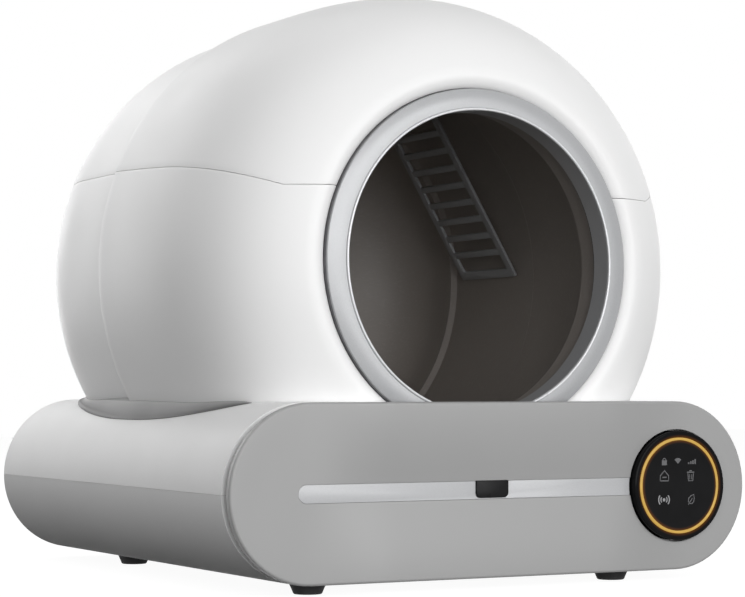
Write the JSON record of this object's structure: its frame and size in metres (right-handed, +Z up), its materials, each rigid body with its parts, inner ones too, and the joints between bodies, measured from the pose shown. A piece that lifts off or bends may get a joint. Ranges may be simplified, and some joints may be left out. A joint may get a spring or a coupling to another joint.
{
  "type": "self cleaning litter box",
  "caption": "Self cleaning litter box: a white globe casing with a round entrance over a motor-driven litter drum, on a grey pill-shaped base with a waste drawer and a round touch display.",
  "frame": {"origin": "on the floor, below the middle of the machine's bounding box", "axes": "+Z up, the entrance and the drawer's front panel face -Y, +X is the right side seen from the front"},
  "size_m": [0.549, 0.586, 0.5687],
  "materials": {
    "white_plastic": "injection moulded, fine satin gloss",
    "light_grey_plastic": "injection moulded, satin",
    "grey_plastic": "injection moulded, satin",
    "dark_seat": "satin",
    "silver_plastic": "silver paint with a satin coat",
    "pale_strip": "pale silver paint",
    "drum_plastic": "fine texture",
    "soft_seal": "soft",
    "black_rubber": "dull",
    "black_plastic": "fine texture",
    "black_gloss": "piano black",
    "amber_light": "lit light guide",
    "gear_plastic": "machined acetal",
    "inner_plastic": "plain moulded",
    "steel": "zinc plated",
    "circuit_board": "solder mask"
  },
  "bodies": {
    "base": {"base_lower_tray": "light_grey_plastic", "base_upper_body": "light_grey_plastic", "globe_seat_collar": "dark_seat", "foot_front_left": "black_rubber", "foot_front_right": "black_rubber", "foot_rear_left": "black_rubber", "foot_rear_right": "black_rubber", "drawer_rail_left": "steel", "drawer_rail_right": "steel", "main_board": "circuit_board", "power_inlet": "black_plastic", "casing_front_lower": "white_plastic", "casing_rear_lower": "white_plastic", "entrance_ring": "silver_plastic", "entrance_seal": "soft_seal", "home_sensor": "circuit_board", "axle_front_left": "steel", "axle_front_right": "steel", "axle_rear_left": "steel", "axle_rear_right": "steel", "bracket_front_left": "inner_plastic", "bracket_front_right": "inner_plastic", "bracket_rear_left": "inner_plastic", "bracket_rear_right": "inner_plastic", "motor_gearbox": "inner_plastic", "drive_motor": "steel", "motor_bracket": "steel", "push_catch": "black_plastic", "display_housing": "black_gloss", "display_lens": "black_gloss", "display_light_ring": "amber_light", "display_board": "circuit_board"},
    "drum": {"drum_front_bowl": "drum_plastic", "drum_rear_bowl": "drum_plastic", "drum_ring_gear": "gear_plastic", "sieve_grid": "inner_plastic", "home_magnet": "steel"},
    "pinion": {"motor_pinion": "gear_plastic", "motor_shaft": "steel"},
    "drawer": {"drawer_front": "grey_plastic", "trim_strip": "pale_strip", "waste_tub": "inner_plastic", "bag_frame": "grey_plastic", "release_spring": "steel", "release_bracket": "inner_plastic"},
    "tab": {"release_tab": "black_gloss"},
    "cover": {"cover_front": "white_plastic", "cover_rear": "white_plastic"},
    "roller_front_left": {"roller_front_left": "black_rubber"},
    "roller_front_right": {"roller_front_right": "black_rubber"},
    "roller_rear_left": {"roller_rear_left": "black_rubber"},
    "roller_rear_right": {"roller_rear_right": "black_rubber"}
  },
  "joints": [
    {"name": "drum_spin", "type": "hinge", "parent": "base", "child": "drum", "pos_m": [0, -0.017, 0.3], "axis": [0, 1, 0], "continuous": true},
    {"name": "pinion_spin", "type": "hinge", "parent": "base", "child": "pinion", "pos_m": [0.12256, 0.1495, 0.08771], "axis": [0, 1, 0], "continuous": true},
    {"name": "drawer_slide", "type": "slide", "parent": "base", "child": "drawer", "axis": [0, -1, 0], "range_m": [0, 0.36]},
    {"name": "tab_press", "type": "slide", "parent": "drawer", "child": "tab", "axis": [0, 1, 0], "range_m": [0, 0.003], "stiffness_N_per_m": 300, "deforming": ["release_spring"]},
    {"name": "cover_lift", "type": "slide", "parent": "base", "child": "cover", "axis": [0, 0, 1], "range_m": [0, 0.22]},
    {"name": "roller_front_left_spin", "type": "hinge", "parent": "base", "child": "roller_front_left", "pos_m": [-0.17181, -0.112, 0.1558], "axis": [0, 1, 0], "continuous": true},
    {"name": "roller_front_right_spin", "type": "hinge", "parent": "base", "child": "roller_front_right", "pos_m": [0.17181, -0.112, 0.1558], "axis": [0, 1, 0], "continuous": true},
    {"name": "roller_rear_left_spin", "type": "hinge", "parent": "base", "child": "roller_rear_left", "pos_m": [-0.17181, 0.113, 0.1558], "axis": [0, 1, 0], "continuous": true},
    {"name": "roller_rear_right_spin", "type": "hinge", "parent": "base", "child": "roller_rear_right", "pos_m": [0.17181, 0.113, 0.1558], "axis": [0, 1, 0], "continuous": true}
  ],
  "couplings": [
    {"joint": "pinion_spin", "follows": "drum_spin", "ratio": -7.5},
    {"joint": "roller_front_left_spin", "follows": "drum_spin", "ratio": -15},
    {"joint": "roller_front_right_spin", "follows": "drum_spin", "ratio": -15},
    {"joint": "roller_rear_left_spin", "follows": "drum_spin", "ratio": -15},
    {"joint": "roller_rear_right_spin", "follows": "drum_spin", "ratio": -15}
  ]
}
